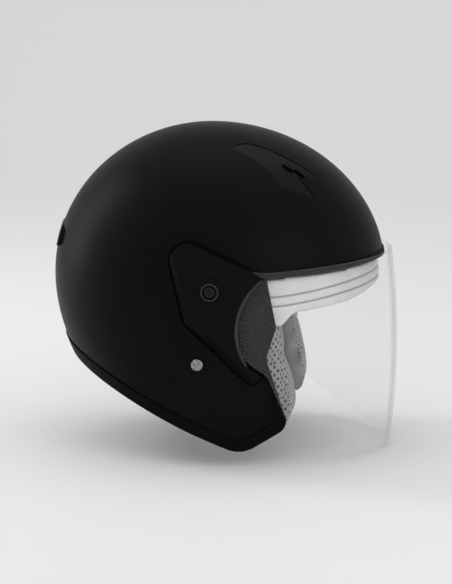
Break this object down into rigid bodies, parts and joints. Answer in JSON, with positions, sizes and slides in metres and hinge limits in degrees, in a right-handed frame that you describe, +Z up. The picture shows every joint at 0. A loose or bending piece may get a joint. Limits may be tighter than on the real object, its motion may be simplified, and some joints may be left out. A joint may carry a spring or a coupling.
{
  "type": "open face motorcycle helmet",
  "caption": "Open face motorcycle helmet: satin black shell, clear visor on side pivots, grey fabric lining, crown vents with sliding shutters and a ratchet-buckled chin strap.",
  "frame": {"origin": "the point midway between the two visor pivots, inside the head cavity, where the wearer's head carries the helmet", "axes": "+X forward out of the face opening, +Y to the wearer's left, +Z up through the crown"},
  "size_m": [0.2874, 0.263, 0.2681],
  "materials": {
    "shell_paint": "satin black lacquer over a glass fibre shell",
    "cover_plastic": "matte black injection moulded nylon",
    "foam": "moulded expanded polystyrene beads",
    "liner_satin": "silver grey satin fabric over foam",
    "liner_fabric": "light grey three-dimensional mesh fabric over foam",
    "rubber_trim": "matte black extruded rubber",
    "visor_clear": "clear polycarbonate",
    "dark_steel": "black oxide",
    "bright_steel": "brushed",
    "brass_insert": "machined",
    "webbing": "woven nylon webbing",
    "lever_plastic": "moulded"
  },
  "bodies": {
    "helmet": {"base_plate_left": "cover_plastic", "base_plate_right": "cover_plastic", "brow_band": "liner_satin", "buckle_frame": "bright_steel", "buckle_pin": "bright_steel", "cheek_pad_left": "liner_fabric", "cheek_pad_right": "liner_fabric", "chin_strap_left": "webbing", "chin_strap_right": "webbing", "crown_liner": "liner_fabric", "eps_liner": "foam", "face_edge_trim": "rubber_trim", "neck_edge_trim": "rubber_trim", "neck_roll": "liner_fabric", "outer_shell": "shell_paint", "pivot_insert_left": "brass_insert", "pivot_insert_right": "brass_insert", "pivot_screw_left": "dark_steel", "pivot_screw_right": "dark_steel", "pivot_washer_left": "bright_steel", "pivot_washer_right": "bright_steel", "plate_screws": "dark_steel", "rear_vent_cover": "cover_plastic", "side_cover_left": "cover_plastic", "side_cover_right": "cover_plastic", "strap_anchor_left": "bright_steel", "strap_anchor_right": "bright_steel", "strap_rivet_left": "bright_steel", "strap_rivet_right": "bright_steel", "temple_stud_left": "cover_plastic", "temple_stud_right": "cover_plastic", "vent_frame_left": "cover_plastic", "vent_frame_right": "cover_plastic"},
    "visor": {"visor": "visor_clear", "visor_bush_right": "cover_plastic", "visor_bush_left": "cover_plastic"},
    "vent_slider_right": {"vent_slider_right": "cover_plastic"},
    "vent_slider_left": {"vent_slider_left": "cover_plastic"},
    "lever": {"buckle_lever": "lever_plastic"},
    "tongue": {"buckle_tongue": "cover_plastic"}
  },
  "joints": [
    {"name": "visor_pivot", "type": "hinge", "parent": "helmet", "child": "visor", "pos_m": [0, 0, 0], "axis": [0, -1, 0], "range_deg": [0, 65]},
    {"name": "vent_slide_right", "type": "slide", "parent": "helmet", "child": "vent_slider_right", "axis": [0.8728, -0.142, -0.4669], "range_m": [0, 0.008]},
    {"name": "vent_slide_left", "type": "slide", "parent": "helmet", "child": "vent_slider_left", "axis": [0.8728, 0.142, -0.4669], "range_m": [0, 0.008]},
    {"name": "buckle_lever_hinge", "type": "hinge", "parent": "helmet", "child": "lever", "pos_m": [-0.011, -0.043, -0.1268], "axis": [-1, 0, 0], "range_deg": [0, 40], "stiffness_Nm_per_rad": 0.01, "springref_deg": -17.19},
    {"name": "buckle_tongue_slide", "type": "slide", "parent": "helmet", "child": "tongue", "axis": [0, 1, 0], "range_m": [0, 0.014]}
  ]
}
